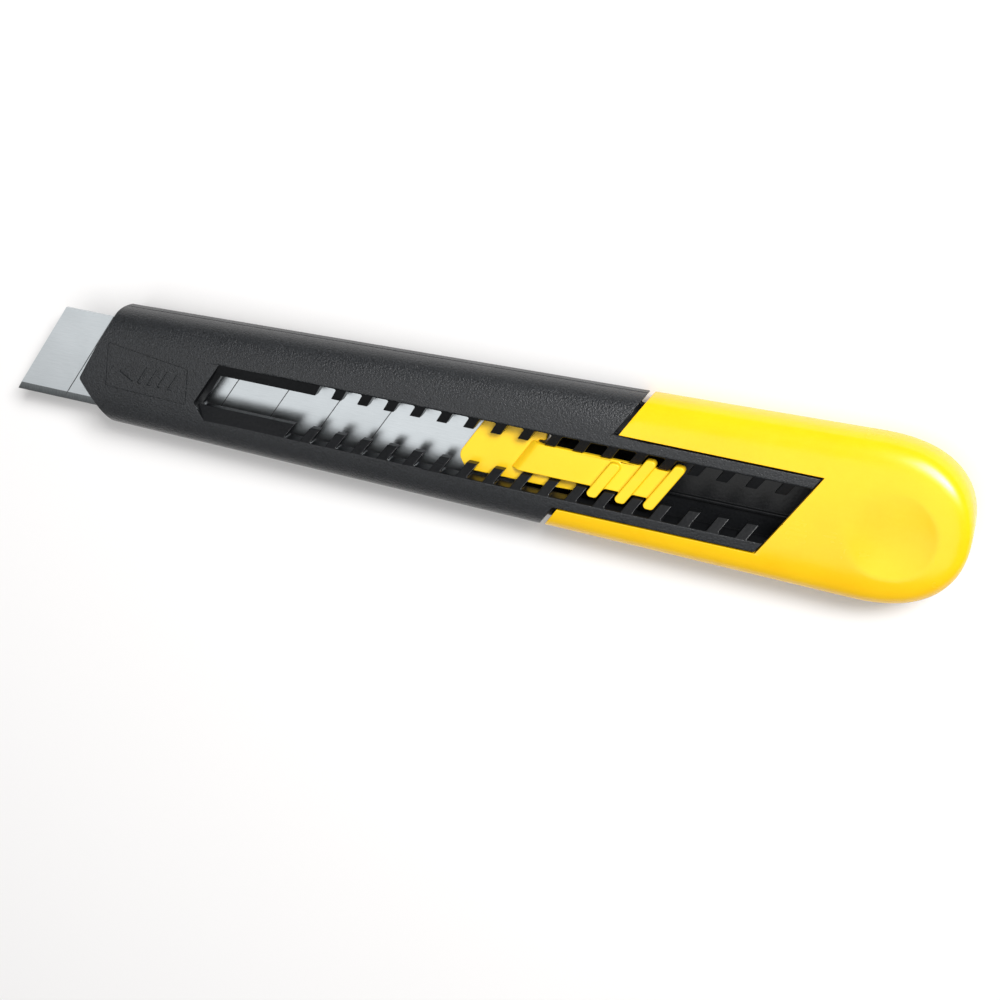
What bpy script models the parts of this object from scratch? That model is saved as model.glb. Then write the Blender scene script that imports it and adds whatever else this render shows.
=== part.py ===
"""Snap-off utility knife: a two-shell handle, a scored blade on a thumb slider, and a pull-off rear cap.

The knife lies on its back. +X runs forward to the blade's tip, +Y to its cutting edge, and +Z out of
the face that holds the thumb slot. The origin is under the middle of the whole knife, on the ground.
Shapes are laid out by three distances: back from the nose, out towards the blade's spine, and up from
the blade's upper face. place() turns them into world metres.
"""
import math

import bmesh
import bpy

MM = 0.001
COLLECTION = "utility_knife"

# Handle outline and section
LENGTH = 162.4
SPINE_HALF = (11.1, 0.0324)    # half-width on the spine side at the nose, and its growth per mm
EDGE_HALF = (11.0, 0.0167)     # the same on the cutting-edge side
HALF_HEIGHT = 6.0
MID_UP = -1.4                  # the section's middle, seen from the blade's upper face
SECTION_POWER = 3.0
END_ROUND = 17.0               # how far before the rear end the outline starts to round
FLAT_CUT = 0.35                # taken off the belly so that the knife has a flat back
PLAN_POWER = 2.4               # roundness of the rear end seen from above
SIDE_POWER = 9.0               # the same seen from the side
NOSE_SLOPE = 0.5               # how far the nose's front edge falls back per mm towards the spine

# How far cutters reach past the handle
BEYOND = 24.0                  # past its sides
HIGH = 20.0                    # above and below the blade's upper face
AHEAD = -30.0                  # ahead of the nose
FAR_REAR = 200.0               # behind the rear end
FORM_FRONT = -8.0              # where the casing's untrimmed form starts
CORE_FRONT = 60.0              # where the seat and the socket start inside it
CAP_FORM_FRONT = 80.0          # where the cap's untrimmed form starts
OVERLAP = 5.0                  # into a neighbour or past an edge

# Fineness of the faceted shapes
SECTION_SIDES = 36
TAIL_STEPS = 12
TAIL_SHORT = 0.02              # the last section stands this far ahead of the rear end
DISC_SIDES = 32
BALL_RINGS = 44
SHARP_ANGLE = 35.0

# Finishes: base colour, roughness and metallic
BLACK = ((0.035, 0.037, 0.04), 0.5, 0.0)
CAP_YELLOW = ((0.9, 0.62, 0.02), 0.35, 0.0)
SLIDER_YELLOW = ((0.9, 0.62, 0.02), 0.38, 0.0)
STEEL = ((0.62, 0.65, 0.67), 0.3, 1.0)

# Datum: the nose tip, the slot's centre line and the blade's upper face, in world millimetres
NOSE_X = 73.2
LINE_Y = 1.19
BLADE_UP = HALF_HEIGHT - MID_UP - FLAT_CUT

# The blade's snap lines, and every slanted edge that repeats them
SLANT = math.tan(math.radians(30.0))
TIP_SIDE = -2.6                # where a pointed outline has its tip
TIP_SLOPE = 0.72               # slope of its short side

# Blade
BLADE_REACH = 16.0
BLADE_HALF = 9.0
BLADE_LONG = 100.0
BLADE_THICK = 0.5
BEVEL = 1.5
SEGMENT = 10.0
SCORES = 7
SCORE_WIDE = 0.3
SCORE_DEEP = 0.12
BLADE_HOLE_R = 2.0
PEG_BACK = 82.0
PEG_R = 1.6

# Channel, slot and rack
GAP = 0.3
CHANNEL_HALF = BLADE_HALF + GAP
CHANNEL_TOP = 1.5
MOUTH_TOP = 0.35
MOUTH_LONG = 20.0
PARTING = -1.2
SINK_FRONT = 25.4              # the sunk rack bed around the slot
SINK_REAR = 135.0
SLOT_FRONT = 26.4
SLOT_HALF = 3.1
SLOT_REAR = 138.0
ROOT_HALF = 5.56
TIP_TOP = 3.03
ROOT_TOP = 4.38
RACK_FRONT = 45.0
RACK_PITCH = 5.0
NOTCH_WIDE = 3.06
NOTCHES = 18
LAST_NOTCH_REAR = 137.0
FLOOR = -4.6
TRAY_HALF = 7.6
TRAY_FRONT = 11.0
RAIL_FRONT = 6.0
RAIL_INNER = 6.9
RAIL_LOW = -3.0
RAIL_TOP = -BLADE_THICK - GAP
SILL_FRONT = 7.5
SILL_REAR = 12.0

# Rear cap and the seat under it
CAP_FRONT = 98.1
SHOULDER = 97.2
SEAT_WIDTH_AT = 98.0           # the seat and the cap's socket keep the width of this place, so the cap slides off
CAP_WALL = 1.5
WINDOW_HALF = 7.85
WINDOW_REAR = 133.0
WINDOW_LOW = 1.0
ISLAND_TOP = 12.0
CASING_REAR = 141.5
SOCKET_REAR = 142.0
POCKET_REAR = 158.0
POCKET_TOP = 1.2
DIMPLE_BACK = 149.2
DIMPLE_SIDE = 0.8
DIMPLE_R = 7.3
DIMPLE_DEEP = 1.3

# Slider
PLATE_FRONT = 75.1
PLATE_HALF = 5.1
PLATE_REAR = 90.5
PLATE_TOP = 1.2
FORK_FRONT = 86.6
LEG_FRONT = 87.5
LEG_REAR = 96.0
LEG_TOP = 0.9
FOOT_REAR = 95.9
MEET = 0.6                     # level inside the plate and the legs where the peg and the feet start
TONGUE_FRONT = 85.5
TONGUE_REAR = 112.6
TONGUE_HALF = 2.8
TONGUE_LOW = 1.5
TONGUE_TOP = 2.6
HINGE_BACK = 87.0
HINGE_UP = 1.9
RIB_FRONT = 100.4
RIB_WIDE = 2.2
RIBS = 3
RIB_LOW = 2.0
RIB_TOP = 3.8


def place(back, spine, up):
    """A point in world metres from its three distances in millimetres."""
    return ((NOSE_X - back) * MM, (LINE_Y - spine) * MM, (BLADE_UP + up) * MM)


def clear_scene():
    for old in list(bpy.data.objects):
        bpy.data.objects.remove(old, do_unlink=True)


def new_collection(name):
    made = bpy.data.collections.new(name)
    bpy.context.scene.collection.children.link(made)
    return made


def add_object(name, bm, collection, origin=(0.0, 0.0, 0.0)):
    """Makes an object from a bmesh in world metres, with its origin at the given point."""
    bmesh.ops.recalc_face_normals(bm, faces=bm.faces)
    if bm.calc_volume(signed=True) < 0.0:
        bmesh.ops.reverse_faces(bm, faces=bm.faces)
    bmesh.ops.translate(bm, verts=bm.verts, vec=[-value for value in origin])
    mesh = bpy.data.meshes.new(name)
    bm.to_mesh(mesh)
    bm.free()
    made = bpy.data.objects.new(name, mesh)
    made.location = origin
    collection.objects.link(made)
    return made


def add_prism(bm, outline, low, high):
    """Adds an upright prism to a bmesh. The outline is a list of (back, spine) points."""
    corners = [bm.verts.new(place(back, spine, low)) for back, spine in outline]
    face = bm.faces.new(corners)
    lifted = bmesh.ops.extrude_face_region(bm, geom=[face])["geom"]
    top = [item for item in lifted if isinstance(item, bmesh.types.BMVert)]
    bmesh.ops.translate(bm, verts=top, vec=(0.0, 0.0, (high - low) * MM))


def prism(name, outline, low, high, collection, origin=(0.0, 0.0, 0.0)):
    bm = bmesh.new()
    add_prism(bm, outline, low, high)
    return add_object(name, bm, collection, origin)


def along(name, section, front, rear, collection):
    """A bar with a (spine, up) section that runs back from front to rear."""
    bm = bmesh.new()
    corners = [bm.verts.new(place(front, spine, up)) for spine, up in section]
    face = bm.faces.new(corners)
    pushed = bmesh.ops.extrude_face_region(bm, geom=[face])["geom"]
    ends = [item for item in pushed if isinstance(item, bmesh.types.BMVert)]
    bmesh.ops.translate(bm, verts=ends, vec=((front - rear) * MM, 0.0, 0.0))
    return add_object(name, bm, collection)


def band(front, rear, half_low, half_high):
    """A slanted strip between two snap lines. Its ends lie at the two spine distances."""
    return [
        (front + SLANT * half_low, half_low),
        (rear + SLANT * half_low, half_low),
        (rear + SLANT * half_high, half_high),
        (front + SLANT * half_high, half_high),
    ]


def pointed(front, half, rear, slope=SLANT):
    """The outline with a slanted front, a tip and a short side that the nose and the slot share."""
    tip = front + slope * TIP_SIDE
    return [
        (front + slope * half, half),
        (tip, TIP_SIDE),
        (tip + TIP_SLOPE * (TIP_SIDE + half), -half),
        (rear, -half),
        (rear, half),
    ]


def block(front, rear, half=BEYOND):
    """A square-ended outline about the slot's centre line."""
    return [(front, -half), (rear, -half), (rear, half), (front, half)]


def disc(back, spine, radius):
    steps = [2.0 * math.pi * index / DISC_SIDES for index in range(DISC_SIDES)]
    return [(back + radius * math.cos(turn), spine + radius * math.sin(turn)) for turn in steps]


def section_halves(back, inset):
    """Half-widths to the spine and to the edge, and half-height, of the handle's section.

    The outside widens towards the rear. An inset form is a seat or a socket, and its sides are straight.
    """
    widest = SEAT_WIDTH_AT if inset > 0.0 else min(back, LENGTH - END_ROUND)
    spine = SPINE_HALF[0] + SPINE_HALF[1] * widest - inset
    edge = EDGE_HALF[0] + EDGE_HALF[1] * widest - inset
    height = HALF_HEIGHT - inset
    run = (back - (LENGTH - END_ROUND)) / (END_ROUND - inset)
    if run > 0.0:
        run = min(run, 1.0)
        round_plan = (1.0 - run ** PLAN_POWER) ** (1.0 / PLAN_POWER)
        round_side = (1.0 - run ** SIDE_POWER) ** (1.0 / SIDE_POWER)
        middle = 0.5 * (spine - edge)
        width = 0.5 * (spine + edge) * round_plan
        return width + middle, width - middle, height * round_side
    return spine, edge, height


def handle_form(name, inset, front, rear, collection):
    """The handle's outer form, pulled in by an inset, as a loft of rounded sections."""
    stops = [front, 0.5 * (front + rear), rear]
    if rear > LENGTH - END_ROUND:
        span = rear - (LENGTH - END_ROUND)
        turns = [0.5 * math.pi * step / TAIL_STEPS for step in range(TAIL_STEPS)]
        stops = [front] + [LENGTH - END_ROUND + span * math.sin(turn) for turn in turns] + [rear - TAIL_SHORT]
    bm = bmesh.new()
    rings = []
    for back in stops:
        spine, edge, height = section_halves(back, inset)
        ring = []
        for index in range(SECTION_SIDES):
            turn = 2.0 * math.pi * (index + 0.5) / SECTION_SIDES
            across = math.copysign(abs(math.cos(turn)) ** (2.0 / SECTION_POWER), math.cos(turn))
            rise = math.copysign(abs(math.sin(turn)) ** (2.0 / SECTION_POWER), math.sin(turn))
            half = spine if across > 0.0 else edge
            up = MID_UP + height * rise
            ring.append(bm.verts.new(place(back, half * across, max(up, MID_UP - HALF_HEIGHT + FLAT_CUT))))
        rings.append(ring)
    for first, second in zip(rings, rings[1:]):
        for index in range(SECTION_SIDES):
            after = (index + 1) % SECTION_SIDES
            bm.faces.new((first[index], second[index], second[after], first[after]))
    bm.faces.new(rings[0])
    bm.faces.new(rings[-1])
    return add_object(name, bm, collection)


def combine(target, tool, operation):
    """Puts a Boolean on the target and marks the tool as a hidden cutter."""
    step = target.modifiers.new(operation.lower() + "_" + tool.name, "BOOLEAN")
    step.operation = operation
    step.solver = "EXACT"
    step.object = tool
    tool.hide_render = True
    tool.display_type = "WIRE"


def finish(target, look):
    color, roughness, metallic = look
    material = bpy.data.materials.new(target.name)
    material.use_nodes = True
    shader = material.node_tree.nodes["Principled BSDF"]
    shader.inputs["Base Color"].default_value = (*color, 1.0)
    shader.inputs["Roughness"].default_value = roughness
    shader.inputs["Metallic"].default_value = metallic
    target.data.materials.clear()
    target.data.materials.append(material)
    target.data.shade_smooth()
    target.data.set_sharp_from_angle(angle=math.radians(SHARP_ANGLE))


def seat_and_front(name, tools):
    """The handle under the cap is pulled in, and stays full size ahead of it and inside the window."""
    form = handle_form(name, 0.0, FORM_FRONT, CASING_REAR, tools)
    ring = prism(name + "_cap_room", band(SHOULDER, FAR_REAR, -BEYOND, BEYOND), -HIGH, HIGH, tools)
    core = handle_form(name + "_core", CAP_WALL + GAP, CORE_FRONT, CASING_REAR + OVERLAP, tools)
    combine(ring, core, "DIFFERENCE")
    island = prism(
        name + "_island",
        band(CAP_FRONT - OVERLAP, WINDOW_REAR - GAP, GAP - WINDOW_HALF, WINDOW_HALF - GAP),
        0.0, ISLAND_TOP, tools,
    )
    combine(ring, island, "DIFFERENCE")
    combine(form, ring, "DIFFERENCE")
    nose = prism(name + "_nose", pointed(-NOSE_SLOPE * TIP_SIDE, BEYOND, FAR_REAR, NOSE_SLOPE), -HIGH, HIGH, tools)
    combine(form, nose, "INTERSECT")
    return form


def build_front_casing(parts, tools):
    casing = seat_and_front("front_casing", tools)
    tools.objects.unlink(casing)
    parts.objects.link(casing)
    upper = prism("upper_half", block(AHEAD, FAR_REAR), PARTING + 0.5 * GAP, HIGH, tools)
    combine(casing, upper, "INTERSECT")
    channel = along("channel", [(-CHANNEL_HALF, -HIGH), (CHANNEL_HALF, -HIGH),
                                (CHANNEL_HALF, CHANNEL_TOP), (-CHANNEL_HALF, CHANNEL_TOP)],
                    MOUTH_LONG, FAR_REAR, tools)
    combine(casing, channel, "DIFFERENCE")
    mouth = along("mouth", [(-CHANNEL_HALF, -HIGH), (CHANNEL_HALF, -HIGH),
                            (CHANNEL_HALF, MOUTH_TOP), (-CHANNEL_HALF, MOUTH_TOP)],
                  AHEAD, MOUTH_LONG + OVERLAP, tools)
    combine(casing, mouth, "DIFFERENCE")
    slot = prism("slot", pointed(SLOT_FRONT, SLOT_HALF, SLOT_REAR), 0.0, HIGH, tools)
    combine(casing, slot, "DIFFERENCE")
    bm = bmesh.new()
    for index in range(NOTCHES):
        front = RACK_FRONT + index * RACK_PITCH
        rear = front + NOTCH_WIDE if index < NOTCHES - 1 else LAST_NOTCH_REAR
        add_prism(bm, band(front, rear, -ROOT_HALF, ROOT_HALF), 0.0, HIGH)
    notches = add_object("notches", bm, tools)
    combine(casing, notches, "DIFFERENCE")
    sink = along("sink", [(-ROOT_HALF, ROOT_TOP), (-SLOT_HALF, TIP_TOP), (SLOT_HALF, TIP_TOP),
                          (ROOT_HALF, ROOT_TOP), (ROOT_HALF, HIGH), (-ROOT_HALF, HIGH)],
                 0.0, FAR_REAR, tools)
    trim = prism("sink_outline", pointed(SINK_FRONT, ROOT_HALF, SINK_REAR), 0.0, HIGH, tools)
    combine(sink, trim, "INTERSECT")
    combine(casing, sink, "DIFFERENCE")
    finish(casing, BLACK)
    return casing


def build_back_casing(parts, tools):
    casing = seat_and_front("back_casing", tools)
    tools.objects.unlink(casing)
    parts.objects.link(casing)
    lower = prism("lower_half", block(AHEAD, FAR_REAR), -HIGH, PARTING - 0.5 * GAP, tools)
    combine(casing, lower, "INTERSECT")
    bm = bmesh.new()
    for side in (-1.0, 1.0):
        add_prism(bm, [(RAIL_FRONT, side * RAIL_INNER), (CASING_REAR, side * RAIL_INNER),
                       (CASING_REAR, side * BLADE_HALF), (RAIL_FRONT, side * BLADE_HALF)],
                  RAIL_LOW, RAIL_TOP)
    rails = add_object("rails", bm, tools)
    combine(casing, rails, "UNION")
    sill = prism("sill", block(SILL_FRONT, SILL_REAR, BLADE_HALF), RAIL_LOW, RAIL_TOP, tools)
    combine(casing, sill, "UNION")
    tray = prism("tray", block(TRAY_FRONT, FAR_REAR, TRAY_HALF), FLOOR, HIGH, tools)
    combine(casing, tray, "DIFFERENCE")
    finish(casing, BLACK)
    return casing


def build_rear_cap(parts, tools):
    cap = handle_form("rear_cap", 0.0, CAP_FORM_FRONT, LENGTH, parts)
    behind = prism("behind_joint", band(CAP_FRONT, FAR_REAR, -BEYOND, BEYOND), -HIGH, HIGH, tools)
    combine(cap, behind, "INTERSECT")
    socket = handle_form("socket", CAP_WALL, CORE_FRONT, LENGTH - CAP_WALL, tools)
    pocket = prism("pocket_limit", block(SOCKET_REAR, FAR_REAR), POCKET_TOP, HIGH, tools)
    combine(socket, pocket, "DIFFERENCE")
    stop = prism("socket_end", block(POCKET_REAR, FAR_REAR), -HIGH, HIGH, tools)
    combine(socket, stop, "DIFFERENCE")
    combine(cap, socket, "DIFFERENCE")
    window = prism("window", band(CAP_FRONT - OVERLAP, WINDOW_REAR, -WINDOW_HALF, WINDOW_HALF), WINDOW_LOW, HIGH, tools)
    combine(cap, window, "DIFFERENCE")
    ball_r = (DIMPLE_R ** 2 + DIMPLE_DEEP ** 2) / (2.0 * DIMPLE_DEEP)
    bm = bmesh.new()
    bmesh.ops.create_uvsphere(bm, u_segments=DISC_SIDES, v_segments=BALL_RINGS, radius=ball_r * MM)
    crown = MID_UP + HALF_HEIGHT
    centre = place(DIMPLE_BACK, DIMPLE_SIDE, crown + ball_r - DIMPLE_DEEP)
    bmesh.ops.translate(bm, verts=bm.verts, vec=centre)
    ball = add_object("dimple_ball", bm, tools)
    combine(cap, ball, "DIFFERENCE")
    finish(cap, CAP_YELLOW)
    return cap


def build_blade(parts, tools):
    half = BLADE_HALF
    bm = bmesh.new()
    section = [(-half, -0.5 * BLADE_THICK), (BEVEL - half, 0.0), (half, 0.0),
               (half, -BLADE_THICK), (BEVEL - half, -BLADE_THICK)]
    corners = [bm.verts.new(place(SLANT * (spine + half) - BLADE_REACH, spine, up)) for spine, up in section]
    face = bm.faces.new(corners)
    pushed = bmesh.ops.extrude_face_region(bm, geom=[face])["geom"]
    ends = [item for item in pushed if isinstance(item, bmesh.types.BMVert)]
    bmesh.ops.translate(bm, verts=ends, vec=(-BLADE_LONG * MM, 0.0, 0.0))
    blade = add_object("blade", bm, parts)
    bm = bmesh.new()
    for index in range(SCORES):
        middle = SEGMENT * (index + 1) + SLANT * half - BLADE_REACH
        add_prism(bm, band(middle - 0.5 * SCORE_WIDE, middle + 0.5 * SCORE_WIDE, -BEYOND, BEYOND), -SCORE_DEEP, HIGH)
    scores = add_object("scores", bm, tools)
    combine(blade, scores, "DIFFERENCE")
    hole = prism("blade_hole", disc(PEG_BACK, 0.0, BLADE_HOLE_R), -HIGH, HIGH, tools)
    combine(blade, hole, "DIFFERENCE")
    finish(blade, STEEL)
    return blade


def build_carriage(parts, tools):
    plate = prism("slider_carriage", pointed(PLATE_FRONT, PLATE_HALF, PLATE_REAR), GAP, PLATE_TOP, parts)
    blade_end = SLANT * BLADE_HALF - BLADE_REACH + BLADE_LONG
    for side in (-1.0, 1.0):
        low, high = sorted((side * (TONGUE_HALF + GAP), side * PLATE_HALF))
        leg = prism("leg", [(LEG_FRONT, low), (LEG_REAR, low), (LEG_REAR, high), (LEG_FRONT, high)],
                    GAP, LEG_TOP, tools)
        combine(plate, leg, "UNION")
        foot = prism("foot", [(blade_end + GAP + SLANT * low, low), (FOOT_REAR, low),
                              (FOOT_REAR, high), (blade_end + GAP + SLANT * high, high)],
                     -BLADE_THICK, MEET, tools)
        combine(plate, foot, "UNION")
    fork = prism("fork", band(FORK_FRONT, FAR_REAR, -TONGUE_HALF - GAP, TONGUE_HALF + GAP), -HIGH, HIGH, tools)
    combine(plate, fork, "DIFFERENCE")
    peg = prism("peg", disc(PEG_BACK, 0.0, PEG_R), -BLADE_THICK, MEET, tools)
    combine(plate, peg, "UNION")
    finish(plate, SLIDER_YELLOW)
    return plate


def build_tongue(parts, tools):
    pivot = place(HINGE_BACK, 0.0, HINGE_UP)
    tongue = prism("thumb_tongue", band(TONGUE_FRONT, TONGUE_REAR, -TONGUE_HALF, TONGUE_HALF),
                   TONGUE_LOW, TONGUE_TOP, parts, pivot)
    bm = bmesh.new()
    for index in range(RIBS):
        front = RIB_FRONT + index * RACK_PITCH
        add_prism(bm, band(front, front + RIB_WIDE, -TONGUE_HALF, TONGUE_HALF), RIB_LOW, RIB_TOP)
    ribs = add_object("ribs", bm, tools)
    combine(tongue, ribs, "UNION")
    finish(tongue, SLIDER_YELLOW)
    return tongue


def main():
    clear_scene()
    parts = new_collection(COLLECTION)
    tools = new_collection("cutters")
    build_front_casing(parts, tools)
    build_back_casing(parts, tools)
    build_rear_cap(parts, tools)
    build_blade(parts, tools)
    build_carriage(parts, tools)
    build_tongue(parts, tools)


main()
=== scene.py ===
import math

import bmesh
import bpy
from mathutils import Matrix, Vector


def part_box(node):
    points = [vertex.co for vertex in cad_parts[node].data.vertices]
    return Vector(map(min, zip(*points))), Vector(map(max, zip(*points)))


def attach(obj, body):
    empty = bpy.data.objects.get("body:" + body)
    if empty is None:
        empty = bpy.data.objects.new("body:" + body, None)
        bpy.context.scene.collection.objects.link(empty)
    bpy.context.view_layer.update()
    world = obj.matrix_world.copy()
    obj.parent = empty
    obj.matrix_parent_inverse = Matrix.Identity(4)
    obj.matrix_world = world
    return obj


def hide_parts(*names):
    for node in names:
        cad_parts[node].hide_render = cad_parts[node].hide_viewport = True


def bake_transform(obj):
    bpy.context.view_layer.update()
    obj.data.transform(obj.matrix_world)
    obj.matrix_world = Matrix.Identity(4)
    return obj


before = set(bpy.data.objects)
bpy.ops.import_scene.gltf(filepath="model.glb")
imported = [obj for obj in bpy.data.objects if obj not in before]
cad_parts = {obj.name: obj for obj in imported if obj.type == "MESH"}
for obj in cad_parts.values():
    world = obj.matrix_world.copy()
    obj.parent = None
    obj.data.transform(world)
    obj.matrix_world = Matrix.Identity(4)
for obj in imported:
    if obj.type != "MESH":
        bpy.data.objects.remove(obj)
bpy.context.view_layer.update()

mm = 0.001
slant = math.tan(math.radians(30))  # how far a snap line runs back for each mm towards the spine
sharpAngle = 40  # in degrees: a corner past this gets a soft edge
weldGap = 0.001  # in mm: points closer than this are one
pinholeSides = 12  # a hole with no more sides than this is shut

# how far cutting blocks reach past the knife, in mm
past = {"front": -30, "rear": 200, "side": 30, "low": -20, "high": 20, "bandRear": 190, "bandSide": 24, "crown": 12}

# Everything is laid out by three distances in mm: back from the nose tip, out towards the blade's spine,
# and up from the blade's upper face.
bladeLow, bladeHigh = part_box("blade")
datum = Vector((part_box("front_casing")[1].x, (bladeLow.y + bladeHigh.y) / 2, bladeHigh.z))
workshop = bpy.data.collections.new("utility_knife_visual")
bpy.context.scene.collection.children.link(workshop)
print("frame loaded, datum at", [round(v, 5) for v in datum])


def at(back, spine, up):
    return datum + Vector((-back, -spine, up)) * mm


# outlines

def rectangle(first, last, low, high):
    return [(first, low), (last, low), (last, high), (first, high)]


def band(front, rear, low, high):  # a strip between two snap lines
    return [(front + slant * low, low), (rear + slant * low, low),
            (rear + slant * high, high), (front + slant * high, high)]


def pointed(front, half, rear, tipSide, tipSlope):  # slanted front, tip, short side
    tip = front + slant * tipSide
    return [(front + slant * half, half), (tip, tipSide), (tip + tipSlope * (tipSide + half), -half),
            (rear, -half), (rear, half)]


def circle(back, spine, radius, count=32):
    turns = [2 * math.pi * k / count for k in range(count)]
    return [(back + radius * math.cos(t), spine + radius * math.sin(t)) for t in turns]


def roundCorners(points, radii, steps=5):  # the outline with its corners softened, one radius a corner
    if not isinstance(radii, (list, tuple)):
        radii = [radii] * len(points)
    made = []
    for index, corner in enumerate(points):
        here = Vector(corner)
        before = Vector(points[index - 1]) - here
        after = Vector(points[(index + 1) % len(points)]) - here
        radius = radii[index]
        if radius <= 0:
            made.append(tuple(here))
            continue
        half = before.angle(after) / 2
        reach = min(radius / math.tan(half), 0.49 * before.length, 0.49 * after.length)
        radius = reach * math.tan(half)
        start, end = here + before.normalized() * reach, here + after.normalized() * reach
        centre = here + (before.normalized() + after.normalized()).normalized() * (radius / math.sin(half))
        a, b = start - centre, end - centre
        turn = a.angle_signed(b)
        for step in range(steps + 1):
            angle = -turn * step / steps
            c, s = math.cos(angle), math.sin(angle)
            made.append((centre.x + a.x * c - a.y * s, centre.y + a.x * s + a.y * c))
    return made


# small helpers for meshes

def newObject(name, mesh, material=None):
    made = bpy.data.objects.new(name, mesh)
    workshop.objects.link(made)
    if material is not None:
        mesh.materials.clear()
        mesh.materials.append(material)
    return made


def faceOut(mesh):
    bm = bmesh.new()
    bm.from_mesh(mesh)
    bmesh.ops.recalc_face_normals(bm, faces=bm.faces)
    if bm.calc_volume(signed=True) < 0:
        bmesh.ops.reverse_faces(bm, faces=bm.faces)
    bm.to_mesh(mesh)
    bm.free()


def solidFrom(name, bm, material=None):
    mesh = bpy.data.meshes.new(name)
    bm.to_mesh(mesh)
    bm.free()
    faceOut(mesh)
    return newObject(name, mesh, material)


def push(name, corners, travel, material=None):  # a flat face pushed along a straight line
    bm = bmesh.new()
    face = bm.faces.new([bm.verts.new(corner) for corner in corners])
    pushed = bmesh.ops.extrude_face_region(bm, geom=[face])["geom"]
    bmesh.ops.translate(bm, verts=[v for v in pushed if isinstance(v, bmesh.types.BMVert)], vec=travel)
    return solidFrom(name, bm, material)


def prism(name, outline, low, high, material):  # a (back, spine) outline raised from low to high
    return push(name, [at(back, spine, low) for back, spine in outline], (0, 0, (high - low) * mm), material)


def runBack(name, section, front, rear, material):  # a bar with a (spine, up) section
    return push(name, [at(front, spine, up) for spine, up in section], ((front - rear) * mm, 0, 0), material)


def combine(piece, tool, operation="DIFFERENCE"):
    step = piece.modifiers.new(tool.name, "BOOLEAN")
    step.operation = operation
    step.solver = "EXACT"
    step.material_mode = "TRANSFER"
    step.object = tool


def soften(piece, width, segments, marked=False):  # rounds every sharp edge, or the marked ones only
    step = piece.modifiers.new("soft_edges", "BEVEL")
    step.width = width * mm
    step.segments = segments
    step.limit_method = "WEIGHT" if marked else "ANGLE"
    step.angle_limit = math.radians(sharpAngle)
    step.use_clamp_overlap = False
    step.loop_slide = False


def markSharp(mesh, front, rear, low):  # marks the sharp edges, sparing those from front to rear and above low
    spareLow, spareHigh = at(rear, 0, low), at(front, 0, low)
    bm = bmesh.new()
    bm.from_mesh(mesh)
    share = bm.edges.layers.float.new("bevel_weight_edge")
    for edge in bm.edges:
        middle = (edge.verts[0].co + edge.verts[1].co) / 2
        spared = spareLow.x < middle.x < spareHigh.x and middle.z > spareLow.z
        if len(edge.link_faces) == 2 and edge.calc_face_angle() > math.radians(sharpAngle) and not spared:
            edge[share] = 1.0
    bm.to_mesh(mesh)
    bm.free()


def closeUp(mesh):  # merges doubled points and shuts the pinholes that a bevel may leave
    bm = bmesh.new()
    bm.from_mesh(mesh)
    bmesh.ops.remove_doubles(bm, verts=bm.verts, dist=weldGap * mm)
    bmesh.ops.holes_fill(bm, edges=[edge for edge in bm.edges if edge.is_boundary], sides=pinholeSides)
    bm.to_mesh(mesh)
    bm.free()


def workIn(piece):  # the modifiers become part of the mesh
    bpy.context.view_layer.update()
    graph = bpy.context.evaluated_depsgraph_get()
    mesh = bpy.data.meshes.new_from_object(piece.evaluated_get(graph), preserve_all_data_layers=True,
                                           depsgraph=graph)
    piece.modifiers.clear()
    piece.data = mesh
    mesh.name = piece.name
    return mesh


def settle(piece, smooth=None):  # the plain mesh, without the tools that shaped it; smooth is an angle in degrees
    tools = [step.object for step in piece.modifiers if step.type == "BOOLEAN"]
    mesh = workIn(piece)
    for tool in tools:
        if tool.name in bpy.data.objects:
            bpy.data.objects.remove(tool)
    closeUp(mesh)
    faceOut(mesh)
    if smooth is not None:
        mesh.shade_smooth()
        mesh.set_sharp_from_angle(angle=math.radians(smooth))
        step = piece.modifiers.new("even_shading", "WEIGHTED_NORMAL")
        step.keep_sharp = True
        step.weight = 60
        workIn(piece)
    print(piece.name, len(piece.data.polygons), "faces")
    return piece


# small helpers for node trees

def wire(tree, value, socket):
    if isinstance(value, bpy.types.NodeSocket):
        tree.links.new(value, socket)
    else:
        socket.default_value = value


def addNode(tree, kind, settings=None, **inputs):
    node = tree.nodes.new(kind)
    for key, value in (settings or {}).items():
        setattr(node, key, value)
    for key, value in inputs.items():
        wire(tree, value, node.inputs[key.replace("_", " ")])
    return node


def calc(tree, operation, *values):
    node = tree.nodes.new("ShaderNodeMath")
    node.operation = operation
    for value, socket in zip(values, node.inputs):
        wire(tree, value, socket)
    return node.outputs[0]


def newGroup(kind, name, inputs, outputs):
    tree = bpy.data.node_groups.new(name, kind)
    for label, socketKind in outputs:
        tree.interface.new_socket(label, in_out="OUTPUT", socket_type="NodeSocket" + socketKind)
    for label, socketKind in inputs:
        tree.interface.new_socket(label, in_out="INPUT", socket_type="NodeSocket" + socketKind)
    return tree, tree.nodes.new("NodeGroupInput").outputs, tree.nodes.new("NodeGroupOutput").inputs


def grow(name, tree, values):  # an object made by a Geometry Nodes tree, turned into a plain mesh
    holder = newObject(name, bpy.data.meshes.new(name))
    step = holder.modifiers.new(tree.name, "NODES")
    step.node_group = tree
    for item in tree.interface.items_tree:
        if item.in_out == "INPUT":
            step[item.identifier] = values[item.name]
    return settle(holder)


# the handle's form: a loft of rounded sections that widen back and close at the rear

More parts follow.
